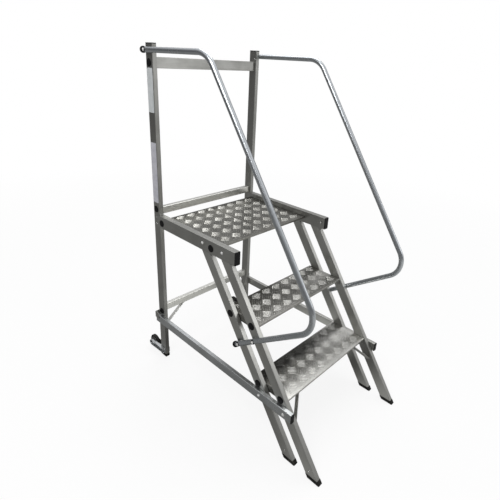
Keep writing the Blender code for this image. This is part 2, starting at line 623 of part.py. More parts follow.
# ---- wheels ----------------------------------------------------------------------------------
def build_wheels():
    for side_name, side in SIDES:
        centre = Vector((side * MIDDLE_X, WHEEL_BACK, AXLE_Z))
        tyre_bore, edge = HUB_RADIUS + GAP, TYRE_WIDTH / 2
        turned("tyre_" + side_name,
               ((tyre_bore, -edge), (WHEEL_RADIUS - TYRE_SHOULDER, -edge),
                (WHEEL_RADIUS, -edge + TYRE_SHOULDER), (WHEEL_RADIUS, edge - TYRE_SHOULDER),
                (WHEEL_RADIUS - TYRE_SHOULDER, edge), (tyre_bore, edge)),
               WHEEL_SIDES, centre, X_AXIS, RUBBER, closed=True)
        bore, boss, rim = AXLE_RADIUS + AXLE_FIT, HUB_WIDTH / 2, HUB_RADIUS - HUB_RIM
        turned("wheel_hub_" + side_name,
               ((bore, -boss), (HUB_BOSS_RADIUS, -boss), (HUB_BOSS_RADIUS, -HUB_WEB / 2),
                (rim, -HUB_WEB / 2), (rim, -edge), (HUB_RADIUS, -edge), (HUB_RADIUS, edge),
                (rim, edge), (rim, HUB_WEB / 2), (HUB_BOSS_RADIUS, HUB_WEB / 2),
                (HUB_BOSS_RADIUS, boss), (bore, boss)),
               WHEEL_SIDES, centre, X_AXIS, NYLON, closed=True)
        arm = build_wheel_arm("wheel_arm_" + side_name, side)
        plate_x = INNER_X - GAP - PLATE_THICKNESS
        plate = extrude("wheel_plate_" + side_name, arm_outline(0, PLATE_LAP, 2 * ARM_RADIUS),
                        side * plate_x, side * (plate_x + PLATE_THICKNESS), ALUMINIUM)
        for piece, x in ((arm, OUTER_X), (plate, plate_x)):
            drill(piece, Vector((side * x, WHEEL_BACK, AXLE_Z)), X_AXIS,
                  AXLE_RADIUS + AXLE_FIT, SECTION_WIDTH)
        head = OUTER_X + GAP + ARM_WALL + GAP
        nut = plate_x - GAP
        turned("wheel_axle_" + side_name,
               ((AXLE_HEAD_RADIUS, head + AXLE_HEAD), (AXLE_HEAD_RADIUS, head),
                (AXLE_RADIUS, head), (AXLE_RADIUS, nut), (AXLE_HEAD_RADIUS, nut),
                (AXLE_HEAD_RADIUS, nut - AXLE_HEAD)),
               SMALL_SIDES, Vector((0, WHEEL_BACK, AXLE_Z)), X_AXIS * side, STEEL)


def arm_outline(inset, lap, front_height):
    """Side view of an arm, in (y, z): straight at the front, with a round end about the axle."""
    radius = ARM_RADIUS - inset
    front = SECTION_DEPTH - lap
    top = AXLE_Z + radius
    outline = [(front, AXLE_Z + ARM_RADIUS - front_height + inset), (front, top)]
    for step in range(ARM_END_STEPS + 1):
        angle = math.pi * (0.5 - step / ARM_END_STEPS)
        outline.append((WHEEL_BACK + radius * math.cos(angle), AXLE_Z + radius * math.sin(angle)))
    return outline


def extrude(name, outline, start, end, mat):
    """Solid with an outline in (y, z), from one x to another."""
    bm = bmesh.new()
    loops = [[bm.verts.new((x, y, z)) for y, z in outline] for x in (start, end)]
    bridge(bm, loops[0], loops[1])
    bm.faces.new(loops[0])
    bm.faces.new(loops[1])
    return make(name, bm, mat, SMOOTH_ANGLE)


def build_wheel_arm(name, side):
    """Channel that opens outwards: its web lies on the upright, its flanges meet round the axle."""
    inner, outer = OUTER_X + GAP, OUTER_X + GAP + ARM_WIDTH
    arm = extrude(name, arm_outline(0, ARM_LAP, ARM_FRONT_HEIGHT),
                  side * inner, side * outer, ALUMINIUM)
    pocket = extrude(name + "_pocket", arm_outline(ARM_WALL, ARM_LAP + ARM_WALL, ARM_FRONT_HEIGHT),
                     side * (inner + ARM_WALL), side * (outer + ARM_WALL), ALUMINIUM)
    subtract(arm, pocket)
    return arm


build_rear_frame()
build_stiles()
build_treads()
build_tread_braces()
build_deck()
build_platform_rails()
build_bottom_rails()
build_handrails()
build_wheels()
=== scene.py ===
"""Looks of the rolling warehouse ladder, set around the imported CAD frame: checker-plate bars,
handrail tubes, tyres, plugs and bolts, blank labels, materials, floor, light and camera.

Metres, +Z up. The climber faces +Y; left is -X. A place given "from the uprights" is a y that is
counted from the front face of the rear uprights, negative towards the climber.
"""
import math

import bmesh
import bpy
from mathutils import Matrix, Vector


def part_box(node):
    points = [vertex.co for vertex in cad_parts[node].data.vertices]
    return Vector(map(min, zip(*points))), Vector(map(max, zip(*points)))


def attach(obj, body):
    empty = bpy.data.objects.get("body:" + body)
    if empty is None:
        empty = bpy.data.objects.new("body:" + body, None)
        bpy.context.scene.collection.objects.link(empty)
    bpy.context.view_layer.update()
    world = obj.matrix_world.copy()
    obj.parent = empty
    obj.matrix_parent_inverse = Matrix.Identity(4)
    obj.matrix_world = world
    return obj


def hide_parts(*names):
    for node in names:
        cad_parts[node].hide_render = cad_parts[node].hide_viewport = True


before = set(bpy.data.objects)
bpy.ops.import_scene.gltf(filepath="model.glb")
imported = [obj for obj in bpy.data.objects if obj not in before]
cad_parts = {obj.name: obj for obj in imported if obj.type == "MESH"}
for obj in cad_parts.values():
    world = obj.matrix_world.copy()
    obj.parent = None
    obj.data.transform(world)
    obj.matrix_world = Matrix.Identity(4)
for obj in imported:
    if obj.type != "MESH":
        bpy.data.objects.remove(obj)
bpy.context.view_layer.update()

X_AXIS, Y_AXIS, Z_AXIS = Vector((1, 0, 0)), Vector((0, 1, 0)), Vector((0, 0, 1))
SIDES = (("left", -1), ("right", 1))

# ---- places taken from the frame -------------------------------------------------------------
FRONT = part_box("upright_right")[0].y                    # front face of the uprights
OUTER_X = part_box("upright_right")[1].x                  # outside of the uprights and stiles
INNER_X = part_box("upright_right")[0].x
RAIL_INNER_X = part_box("platform_rail_right")[0].x
RAIL_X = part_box("platform_rail_right")[1].x
BOTTOM_RAIL_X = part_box("bottom_rail_right")[1].x
LOWER_TREAD_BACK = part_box("lower_tread")[1].y
HANDRAIL_LOW, HANDRAIL_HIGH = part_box("handrail_right")
TUBE_RADIUS = (HANDRAIL_HIGH.x - HANDRAIL_LOW.x) / 2
HANDRAIL_X = (HANDRAIL_HIGH.x + HANDRAIL_LOW.x) / 2
HANDRAIL_Z = HANDRAIL_HIGH.z - TUBE_RADIUS

# ---- stiles and handrails, where the frame's boxes don't say ---------------------------------
SLOPE = math.radians(54.9)
SECTION_DEPTH = 0.050
UP_SLOPE = Vector((0, math.cos(SLOPE), math.sin(SLOPE)))
OFF_SLOPE = Vector((0, -math.sin(SLOPE), math.cos(SLOPE)))
STILE_SPACING = 0.1107
HANDRAIL_REACH = 0.370          # front face of the front stile to the sloping run
HANDRAIL_LOW_Z = 0.532          # lower run, where it crosses the middle of the front stile
HANDRAIL_TAIL = 0.021           # tube past the middle of the upright
HANDRAIL_END = 0.029            # tube past the middle of the rear stile
UPPER_BEND = 0.110
LOWER_BEND = 0.100
TUBE_WALL = 0.002
TUBE_SIDES = 48
BEND_STEPS = 36

# End caps of the tubes: distance out past the tube's end, and radius.
CAP_PROFILE = ((-0.0095, TUBE_RADIUS + 0.0001), (-0.0095, 0.0134), (-0.0088, 0.0141),
               (-0.0070, 0.0145), (0.0015, 0.0146), (0.0045, 0.0138), (0.0070, 0.0116),
               (0.0086, 0.0084), (0.0095, 0.0045))
CAP_SIDES = 40

# Black washers that wrap the tube under its bolts.
SADDLE_LENGTH = 0.0095          # half length, along the tube
SADDLE_SPREAD = math.radians(56)
SADDLE_LIFT = 0.0001
SADDLE_THICKNESS = 0.0012
SADDLE_HOLE = 0.32              # hole, as a share of the washer
SADDLE_SIDES = 32
SADDLE_RINGS = 5

# ---- checker plate ---------------------------------------------------------------------------
CELL = 0.0505            # side of a group of five bars; the groups lie at 45 degrees
BAR_COUNT = 5
BAR_PITCH = 0.0094
BAR_LENGTH = 0.043
BAR_WIDTH = 0.0058
BAR_HEIGHT = 0.0017
BAR_MINIMUM = 0.012      # shorter stumps at the edges are left out
BAR_OUTLINE = 14
BAR_LAYERS = ((-0.0003, 1.0), (BAR_HEIGHT * 0.55, 0.80), (BAR_HEIGHT * 0.92, 0.46),
              (BAR_HEIGHT, 0.18))           # height over the plate, and share of the bar's width
END_PULL = 0.55          # how far a bar's ends draw in towards its top, as a share of its width
END_ROUND = 0.8          # below 1, a bar's ends are blunter than an ellipse
# Middle of one group, and the plain strips at the low x, high x, front and rear edges.
DECK_GROUPS = (("left", (-0.1624, FRONT - 0.2425), (0.010, 0.006, 0.014, 0.008)),
               ("right", (0.1114, FRONT - 0.2577), (0.006, 0.010, 0.014, 0.008)))
TREAD_STRIPS = (0.022, 0.022, 0.014, 0.008)
TREAD_GROUP_BACK = 0.098        # middle of a group, forwards from a tread's back edge
MIDDLE_TREAD_GROUP_X = -0.0808
LOWER_TREAD_GROUP_X = -0.0225

# Painted shade along the rear of the lower tread, where the middle tread shades it: y where it
# starts and is full, x where it starts to thin out and has thinned.
SHADE_BAND = (LOWER_TREAD_BACK - 0.0853, LOWER_TREAD_BACK - 0.0423, 0.06, 0.24)

# ---- plugs, bolts and rivets -----------------------------------------------------------------
# Turned profiles: share of the radius, and height over the face.
PLUG_PROFILE = ((1.00, 0.0001), (1.00, 0.0010), (0.95, 0.0019), (0.84, 0.0025), (0.55, 0.0030),
                (0.20, 0.0032))
BOLT_PROFILE = ((1.45, 0.0001), (1.45, 0.0008), (1.38, 0.0011), (1.00, 0.0011), (1.00, 0.0024),
                (0.90, 0.0032), (0.60, 0.0038), (0.20, 0.0040))
RIVET_PROFILE = ((1.00, 0.0001), (0.97, 0.0007), (0.85, 0.0014), (0.62, 0.0020), (0.34, 0.0024),
                 (0.10, 0.0025))
BUTTON_SIDES = 32
PLUG_RADIUS = 0.0175
HANDRAIL_BOLT_RADIUS = 0.0062
RAIL_BOLT_RADIUS = 0.0050
FRAME_RIVET_RADIUS = 0.0052
ARM_RIVET_RADIUS = 0.0046
INNER_RIVET_RADIUS = 0.0045
TREAD_RIVET_RADIUS = 0.0050
# Places as (y from the uprights, z).
UPRIGHT_PLUGS = ((0.028, 1.6186), (0.028, 0.9255), (0.020, 0.3120))
RAIL_PLUGS = ((-0.0214, 0.861), (-0.409, 0.861))
RAIL_BOLTS = ((-0.349, 0.869), (-0.484, 0.866))
BOTTOM_RAIL_BOLTS = ((-0.766, 0.265), (-0.912, 0.262))
UPRIGHT_RIVETS = ((0.027, 0.882), (0.030, 0.845))
ARM_RIVETS = ((0.026, 0.043), (0.040, 0.043))
UPRIGHT_INNER_RIVETS = ((0.012, 1.655),)
RAIL_INNER_RIVETS = ((-0.545, 0.868),)
STILE_RIVETS = (("rear", 0.0415), ("front", 0.0370))                    # stile, z
TREAD_PLUG_DROPS = (("middle_tread", 0.007), ("lower_tread", 0.005))    # under the tread's top
TREAD_RIVET_INSET = (0.018, 0.022, -0.0002)     # from the tread's high corner, in x, y and z
ARM_WEB = 0.0033                # outer face of the web of a wheel arm, out from the upright
RAIL_RIVET_GAP = 0.0034         # foot of the rivet inside a platform rail, in from the rail

# ---- labels ----------------------------------------------------------------------------------
LABEL_WIDTH = 0.044
LABEL_UNDERSIDE, LABEL_FILM = 0.00005, 0.0004
LABEL_CORNER = 0.004
LABEL_CORNER_STEPS = 4
UPPER_LABEL = (1.403, 1.597)    # z of the low and the high edge
LOWER_LABEL = (0.962, 1.264)

# ---- wheels ----------------------------------------------------------------------------------
TYRE_SHOULDER = 0.005
TYRE_STEPS = 6                  # in a quarter round
TYRE_SIDES = 64
TYRE_BORE_GAP = 0.0003
TYRE_BORE_INSET = 0.001
HUB_RIBS = 6
RIB_HALF_THICKNESS = 0.0012
RIB_FOOT = 0.002                # from the middle plane of the wheel
RIB_FACE_INSET = 0.003          # from the side plane of the tyre
RIB_START = 0.0086              # from the axle
RIB_END_INSET = 0.0035          # from the rim of the hub

# ---- floor, light and camera -----------------------------------------------------------------
FLOOR_RADIUS = 9.0
FLOOR_SIDES = 96
FLOOR_COLOUR = (0.90, 0.90, 0.90, 1)
FLOOR_GLOW = (0.86, 1.0)                # glowing share near the ladder and far away
FLOOR_FADE = (1.2, 5.0)                 # distances between which the glow grows
FLOOR_BRIGHT_WAY = (0.66, -0.75, 0)     # reflections of the floor get brighter this way
FLOOR_LEVELS = (-0.2, 1.4, 0.24, 0.60)  # two distances that way, and the levels there
FLOOR_SHADOW = (0.38, 0.62, 0.18, 1.0)  # two distances from the middle, and the shares there
FLOOR_PATCH = (0.12, 0.06, 0)           # middle of a brighter patch under the platform
FLOOR_PATCH_LEVELS = (0.16, 0.34, 0.75, 0.0)    # two distances from it, and the levels there
FLOOR_WARMTH = (1, 1, 0.98, 1)
WORLD_LEFT, WORLD_RIGHT = 0.70, 1.20    # the room is brighter on the ladder's right
WORLD_TURNOVER = (-0.45, 0.50)          # sideways directions between which it changes
# Room brightness from straight down (0) over the horizon (0.5) to straight up (1).
WORLD_LOWEST, WORLD_HIGHEST = (0.45, 0.10), (1.0, 0.80)
WORLD_STOPS = ((0.50, 0.26), (0.60, 0.17), (0.67, 0.20), (0.75, 0.52), (0.82, 0.85))
WORLD_BLUE = 1.01                       # blue over red and green in the stops
LIGHT_TARGET = Vector((0, 0, 0.8))
# Name, azimuth and elevation in degrees, distance, width and height, radiance.
SOFTBOXES = (("front_right", 38, 17, 4.0, (2.2, 1.3), 1.6),
             ("high_rear_right", 140, 64, 3.6, (2.4, 1.9), 2.8),
             ("high_left", -80, 50, 3.5, (1.4, 1.4), 7.0))
CAMERA_PLACE = Vector((-1.4152, FRONT - 1.6931, 1.6542))
CAMERA_AZIMUTH = math.radians(-47.363)
CAMERA_DOWN = math.radians(22.964)
CAMERA_ROLL = math.radians(3.209)
CAMERA_LENS = 29.35
CAMERA_SENSOR = 36.0
CAMERA_SHIFT = (-0.0199, -0.0340)
CAMERA_CLIP = (0.05, 60.0)


# ---- node helpers ----------------------------------------------------------------------------
def add(tree, kind, inputs=None, **settings):
    """A shader node; an input given as a socket is linked, any other is set."""
    node = tree.nodes.new(kind)
    for key, value in settings.items():
        setattr(node, key, value)
    for key, value in (inputs or {}).items():
        if isinstance(value, bpy.types.NodeSocket):
            tree.links.new(value, node.inputs[key])
        else:
            node.inputs[key].default_value = value
    return node


def blank_material(name):
    """Material with a Principled shader, and the frame's own coordinates for its patterns."""
    material = bpy.data.materials.new(name)
    material.use_nodes = True
    tree = material.node_tree
    place = add(tree, "ShaderNodeTexCoord").outputs["Object"]
    return material, tree, tree.nodes["Principled BSDF"], place


def noise(tree, vector, scale, detail=3.0, roughness=0.55):
    return add(tree, "ShaderNodeTexNoise", {"Vector": vector, "Scale": scale, "Detail": detail,
                                            "Roughness": roughness}).outputs["Fac"]


def remap(tree, value, low, high, to_low, to_high):
    return add(tree, "ShaderNodeMapRange", {
        "Value": value, "From Min": low, "From Max": high, "To Min": to_low,
        "To Max": to_high}).outputs["Result"]


def blend_colours(tree, factor, first, second):
    mix = add(tree, "ShaderNodeMix", data_type="RGBA")
    tree.links.new(factor, mix.inputs[0])
    for socket, colour in ((mix.inputs[6], first), (mix.inputs[7], second)):
        if isinstance(colour, bpy.types.NodeSocket):
            tree.links.new(colour, socket)
        else:
            socket.default_value = (*colour, 1)
    return mix.outputs[2]


def math_node(tree, operation, first, second=0.0):
    return add(tree, "ShaderNodeMath", {0: first, 1: second}, operation=operation).outputs[0]


# ---- materials -------------------------------------------------------------------------------
SPECK_SCALE = 260.0             # noise scales, per metre
DUST_SCALE = 28.0
MOTTLE_SCALE = 34.0
STREAK_STRENGTH = 0.30
STREAK_SHADE = 0.72
# Painted highlight along rounded edges: how strongly it shows, and how far it lifts the colour.
EDGE_HIGHLIGHT_STRENGTH = 0.8
EDGE_HIGHLIGHT_SHINE = 1.22
EDGE_WEAR_AND_HIGHLIGHT_ANGLE = (0.995, 0.90)      # cosines between a rounded edge and its face
# Painted shade band under the middle tread: its colour, its strength, the share left where it
# thins, and how far its edge wanders.
SHADE_BAND_COLOUR = (0.030, 0.030, 0.027)
SHADE_BAND_STRENGTH = 0.88
SHADE_BAND_THIN = 0.15
SHADE_BAND_RAGGED = 0.022             # how far the painted shade's edge wanders
# Painted shade where the surroundings close in, in grooves and at the feet of the bars: its tone,
# as a share of the colour, and its strength.
HOLLOW_SHADE_TONE = 0.16
HOLLOW_SHADE_STRENGTH = 0.9
HOLLOW_SHADE_OPEN = (0.60, 0.97)       # open share of the surroundings at full painted shade and at none
GRAIN_ROUGHNESS = 0.05          # what each pattern adds to a roughness, or takes from it
DULL_ROUGHNESS = 0.07
WORN_ROUGHNESS = 0.10
SPECK_ROUGHNESS = 0.02
PEBBLE_ROUGHNESS = 0.06
DUST_ROUGHNESS = 0.12
MOTTLE_ROUGHNESS = 0.15
GRAIN_DEPTH = 0.0005
PEBBLE_DEPTH = 0.0004
MOULDED_SPECULAR = 0.25


def metal(name, colour, dull, roughness, along, grain_length=0.30, grain_width=0.0022,
          bump=0.10, stain_scale=7.0, stain_reach=(0.42, 0.66), edge=0.0011, hollow_shade_reach=0.0,
          metallic=1.0, shade_band=None):
    """Drawn or rolled metal: grain along one direction, dull patches, and rounded edges that are
    smoother and carry a painted highlight.

    The hollow shade reach, in metres, paints shade into corners and grooves. A band of painted
    shade is laid out as SHADE_BAND.
    """
    material, tree, shader, place = blank_material(name)
    turn = Vector(along).to_track_quat("X", "Z").to_euler()
    stretched = add(tree, "ShaderNodeMapping", {
        "Vector": place, "Rotation": turn,
        "Scale": (grain_length, grain_width, grain_width)}, vector_type="TEXTURE")
    grain = noise(tree, stretched.outputs["Vector"], 1.0, 4.0, 0.62)
    stain = noise(tree, place, stain_scale, 5.0, 0.6)
    speck = noise(tree, place, SPECK_SCALE, 2.0, 0.5)
    patch = remap(tree, stain, *stain_reach, 0.0, 1.0)
    rounded = add(tree, "ShaderNodeBevel", {"Radius": edge}, samples=4)
    geometry = add(tree, "ShaderNodeNewGeometry")
    turned_away = add(tree, "ShaderNodeVectorMath", {
        0: rounded.outputs["Normal"], 1: geometry.outputs["Normal"]}, operation="DOT_PRODUCT")
    edge_wear_and_highlight = remap(tree, turned_away.outputs["Value"], *EDGE_WEAR_AND_HIGHLIGHT_ANGLE, 0.0, 1.0)
    base = blend_colours(tree, patch, colour, dull)
    streaked = blend_colours(tree, remap(tree, grain, 0.38, 0.62, 0.0, STREAK_STRENGTH), base,
                             tuple(STREAK_SHADE * c for c in colour))
    # Painted highlight: rounded edges lean towards a lighter copy of the colour.
    surface_colour = blend_colours(tree, math_node(tree, "MULTIPLY", edge_wear_and_highlight, EDGE_HIGHLIGHT_STRENGTH), streaked,
                             tuple(min(1.0, EDGE_HIGHLIGHT_SHINE * c) for c in colour))
    # Painted shade: a ragged dark band along the rear of the lower tread, where the middle tread
    # shades it, thinning out towards high x.
    if shade_band:
        start, full, thinning, thinned = shade_band
        parts = add(tree, "ShaderNodeSeparateXYZ", {0: place}).outputs
        wander = remap(tree, stain, 0.3, 0.7, -SHADE_BAND_RAGGED, SHADE_BAND_RAGGED)
        ragged = math_node(tree, "ADD", parts["Y"], wander)
        band = math_node(tree, "MULTIPLY", remap(tree, ragged, start, full, 0.0, 1.0),
                         remap(tree, parts["X"], thinning, thinned, 1.0, SHADE_BAND_THIN))
        surface_colour = blend_colours(tree, math_node(tree, "MULTIPLY", band, SHADE_BAND_STRENGTH),
                                 surface_colour, SHADE_BAND_COLOUR)
    # Painted shade: darker where the surroundings close in, in corners, grooves and at the feet of
    # the bars.
    if hollow_shade_reach:
        open_share = add(tree, "ShaderNodeAmbientOcclusion", {"Distance": hollow_shade_reach}, samples=6)
        hollow_shade = remap(tree, open_share.outputs["AO"], *HOLLOW_SHADE_OPEN, 1.0, 0.0)
        surface_colour = blend_colours(tree, math_node(tree, "MULTIPLY", hollow_shade, HOLLOW_SHADE_STRENGTH),
                                 surface_colour, tuple(HOLLOW_SHADE_TONE * c for c in colour))
    tree.links.new(surface_colour, shader.inputs["Base Color"])
    rough = math_node(tree, "ADD", remap(tree, grain, 0.3, 0.7, roughness - GRAIN_ROUGHNESS,
                                         roughness + GRAIN_ROUGHNESS),
                      math_node(tree, "MULTIPLY", patch, DULL_ROUGHNESS))
    rough = math_node(tree, "SUBTRACT", rough, math_node(tree, "MULTIPLY", edge_wear_and_highlight, WORN_ROUGHNESS))
    specks = remap(tree, speck, 0.4, 0.6, -SPECK_ROUGHNESS, SPECK_ROUGHNESS)
    tree.links.new(math_node(tree, "ADD", rough, specks), shader.inputs["Roughness"])
    lines = add(tree, "ShaderNodeBump", {
        "Strength": bump, "Distance": GRAIN_DEPTH, "Height": grain,
        "Normal": rounded.outputs["Normal"]})
    tree.links.new(lines.outputs["Normal"], shader.inputs["Normal"])
    shader.inputs["Metallic"].default_value = metallic
    return material


def moulded(name, colour, dusty, roughness, grain_scale, bump, dust_reach=(0.52, 0.75)):
    """Moulded plastic or rubber: fine pebble grain, with dust in patches."""
    material, tree, shader, place = blank_material(name)
    pebble = noise(tree, place, grain_scale, 2.0, 0.5)
    dust = remap(tree, noise(tree, place, DUST_SCALE, 5.0, 0.6), *dust_reach, 0.0, 1.0)
    tree.links.new(blend_colours(tree, dust, colour, dusty), shader.inputs["Base Color"])
    rough = math_node(tree, "ADD", remap(tree, pebble, 0.3, 0.7, roughness - PEBBLE_ROUGHNESS,
                                         roughness + PEBBLE_ROUGHNESS),
                      math_node(tree, "MULTIPLY", dust, DUST_ROUGHNESS))
    tree.links.new(rough, shader.inputs["Roughness"])
    pebbled = add(tree, "ShaderNodeBump", {"Strength": bump, "Distance": PEBBLE_DEPTH,
                                           "Height": pebble})
    tree.links.new(pebbled.outputs["Normal"], shader.inputs["Normal"])
    shader.inputs["Specular IOR Level"].default_value = MOULDED_SPECULAR
    return material


def label_film(name, colour, faded, roughness):
    """Blank vinyl label: faintly mottled, a little duller where it has faded."""
    material, tree, shader, place = blank_material(name)
    mottle = remap(tree, noise(tree, place, MOTTLE_SCALE, 5.0, 0.65), 0.40, 0.70, 0.0, 1.0)
    tree.links.new(blend_colours(tree, mottle, colour, faded), shader.inputs["Base Color"])
    rough = math_node(tree, "ADD", math_node(tree, "MULTIPLY", mottle, MOTTLE_ROUGHNESS),
                      roughness)
    tree.links.new(rough, shader.inputs["Roughness"])
    return material


# The frame's alloy is one metal in several tones, set part by part as painted light and shade: the
# cross members, the left bottom rail and the wheel arms lighter, the uprights darker.
ALLOY = (0.56, 0.56, 0.535)
DULL_ALLOY = (0.47, 0.47, 0.445)
UPRIGHT = metal("alloy_upright", (0.43, 0.43, 0.41), (0.35, 0.35, 0.33), 0.36, Z_AXIS)
STILE = metal("alloy_stile", ALLOY, DULL_ALLOY, 0.34, UP_SLOPE)
TOP_RAIL = metal("alloy_top_rail", (0.48, 0.48, 0.46), (0.39, 0.39, 0.37), 0.36, X_AXIS)
ACROSS = metal("alloy_across", (0.86, 0.86, 0.82), (0.74, 0.74, 0.70), 0.32, X_AXIS)
FORWARD = metal("alloy_forward", (0.47, 0.47, 0.45), (0.38, 0.38, 0.36), 0.34, Y_AXIS)
LOW_RAIL = metal("alloy_low_rail", (0.62, 0.64, 0.65), (0.50, 0.52, 0.52), 0.30, Y_AXIS,
                 edge=0.004)
TUBE = metal("handrail_tube", (0.62, 0.65, 0.68), (0.52, 0.55, 0.57), 0.27, UP_SLOPE,
             grain_length=0.5, grain_width=0.004, bump=0.012)
# The checker plate is one metal in six tones, set as painted light and shade: the bars lighter
# than the plate under them, the lower tread lighter and the deck darker than the middle tread.
TREAD_PLATE = metal("tread_plate", (0.44, 0.435, 0.41), (0.31, 0.305, 0.285), 0.24, X_AXIS,
                    grain_width=0.0012, bump=0.14, stain_scale=11.0, hollow_shade_reach=0.006)
LOWER_PLATE = metal("lower_plate", (0.66, 0.655, 0.625), (0.46, 0.455, 0.43), 0.24, X_AXIS,
                    grain_width=0.0012, bump=0.14, stain_scale=13.0, hollow_shade_reach=0.006,
                    shade_band=SHADE_BAND)
DECK_PLATE = metal("deck_plate", (0.33, 0.325, 0.30), (0.23, 0.225, 0.205), 0.26, X_AXIS,
                   grain_width=0.0012, bump=0.14, stain_scale=9.0, hollow_shade_reach=0.006)
TREAD_BARS = metal("tread_bars", (0.78, 0.775, 0.74), (0.58, 0.575, 0.545), 0.20, X_AXIS,
                   grain_width=0.0010, bump=0.06, stain_scale=11.0, hollow_shade_reach=0.004)
LOWER_BARS = metal("lower_bars", (0.92, 0.915, 0.88), (0.70, 0.695, 0.665), 0.20, X_AXIS,
                   grain_width=0.0010, bump=0.06, stain_scale=13.0, hollow_shade_reach=0.004,
                   shade_band=SHADE_BAND)
DECK_BARS = metal("deck_bars", (0.50, 0.495, 0.465), (0.36, 0.355, 0.33), 0.21, X_AXIS,
                  grain_width=0.0010, bump=0.06, stain_scale=9.0, hollow_shade_reach=0.004)
STEEL = metal("zinc_bolt", (0.80, 0.80, 0.79), (0.62, 0.62, 0.60), 0.22, X_AXIS,
              grain_length=0.004, grain_width=0.001, bump=0.05, edge=0.0004)
# Bolt heads near white and barely metallic: the colour is a painted highlight that stands in for
# their glints.
GLINT_BOLT = metal("painted_glint_bolt", (0.96, 0.96, 0.95), (0.88, 0.88, 0.86), 0.46, X_AXIS,
                    grain_length=0.004, grain_width=0.001, bump=0.03, edge=0.0004, metallic=0.12)
PLASTIC = moulded("black_plastic", (0.005, 0.005, 0.006), (0.012, 0.012, 0.011), 0.58, 900.0, 0.12)
RUBBER = moulded("black_rubber", (0.014, 0.014, 0.013), (0.060, 0.057, 0.050), 0.72, 620.0, 0.25)
NYLON = moulded("grey_nylon", (0.16, 0.16, 0.155), (0.24, 0.235, 0.22), 0.48, 700.0, 0.10)
PALE_LABEL = label_film("pale_label", (0.80, 0.83, 0.84), (0.66, 0.70, 0.71), 0.34)
LILAC_LABEL = label_film("lilac_label", (0.74, 0.74, 0.80), (0.60, 0.60, 0.67), 0.36)


def node_material(name):
    """The material that a CAD node is shown in: the first rule whose word is in its name."""
    # The left bottom rail and the wheel arms take the lighter LOW_RAIL tone, the right bottom rail
    # the darker FORWARD tone: painted light and shade.
    rules = (("plug", PLASTIC), ("cap", PLASTIC), ("stud", GLINT_BOLT), ("axle", STEEL),
             ("handrail", TUBE), ("foot", RUBBER), ("tyre", RUBBER), ("hub", NYLON),
             ("tread_brace", STILE), ("lower_tread", LOWER_PLATE), ("tread", TREAD_PLATE),
             ("deck_plank", DECK_PLATE), ("upright", UPRIGHT), ("stile", STILE),
             ("top_cross_rail", TOP_RAIL), ("bottom_rail_left", LOW_RAIL),
             ("wheel_arm", LOW_RAIL), ("cross_rail", ACROSS), ("knee_rail", ACROSS),
             ("brace", ACROSS), ("bearer", ACROSS))
    for word, material in rules:
        if word in name:
            return material
    return FORWARD


for node_name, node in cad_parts.items():
    node.data.materials.clear()
    node.data.materials.append(node_material(node_name))


# ---- modelling helpers -----------------------------------------------------------------------
def piece(name, bm, material, body="frame", smooth_degrees=40):
    """Closes a bmesh into a shown piece that rides on a body."""
    bmesh.ops.recalc_face_normals(bm, faces=bm.faces)
    mesh = bpy.data.meshes.new(name)
    bm.to_mesh(mesh)
    bm.free()
    mesh.materials.append(material)
    mesh.shade_smooth()
    mesh.set_sharp_from_angle(angle=math.radians(smooth_degrees))
    made = bpy.data.objects.new(name, mesh)
    bpy.context.scene.collection.objects.link(made)
    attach(made, body)
    return made


def bridge(bm, first, second):
    """Quads between two rings of equal length."""
    count = len(first)
    for i in range(count):
        j = (i + 1) % count
        bm.faces.new((first[i], first[j], second[j], second[i]))


def turn(bm, profile, centre, axis, sides, closed=False):
    """Adds a turned shape: (radius, distance) points about an axis through centre."""
    basis = Vector(axis).to_track_quat("Z", "Y").to_matrix()
    rings = []
    for radius, distance in profile:
        rings.append([bm.verts.new(centre + basis @ Vector((
            radius * math.cos(2 * math.pi * i / sides),
            radius * math.sin(2 * math.pi * i / sides), distance))) for i in range(sides)])
    for lower, upper in zip(rings, rings[1:]):
        bridge(bm, lower, upper)
    if closed:
        bridge(bm, rings[-1], rings[0])
    else:
        bm.faces.new(rings[0])
        bm.faces.new(rings[-1])


def stile_middle(which, z):
    """Y of the middle of a stile at a height."""
    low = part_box(which + "_stile_right")[0]
    return low.y + SECTION_DEPTH / 2 / math.sin(SLOPE) + (z - low.z) / math.tan(SLOPE)


# ---- building the pieces ---------------------------------------------------------------------
def raised_bar(bm, middle, along, length, top):
    """One domed bar, oval from above, with its foot sunk just under the plate."""
    across = Z_AXIS.cross(along)
    rings = []
    for height, swell in BAR_LAYERS:
        ring = []
        for i in range(BAR_OUTLINE):
            angle = 2 * math.pi * i / BAR_OUTLINE
            reach = length / 2 - (1 - swell) * BAR_WIDTH * END_PULL
            side = BAR_WIDTH / 2 * swell
            taper = abs(math.sin(angle)) ** END_ROUND
            ring.append(bm.verts.new(
                middle + along * (reach * math.cos(angle))
                + across * (side * math.copysign(taper, math.sin(angle)))
                + Z_AXIS * (top + height)))
        rings.append(ring)
    for lower, upper in zip(rings, rings[1:]):
        bridge(bm, lower, upper)
    bm.faces.new(rings[0])
    bm.faces.new(rings[-1])


def clipped(middle, along, low, high):
    """The part of a bar that lies inside a rectangle, as (middle, length)."""
    start, end = -BAR_LENGTH / 2, BAR_LENGTH / 2
    for axis in (0, 1):
        first = (low[axis] - middle[axis]) / along[axis]
        second = (high[axis] - middle[axis]) / along[axis]
        start = max(start, min(first, second))
        end = min(end, max(first, second))
    return middle + along * ((start + end) / 2), end - start


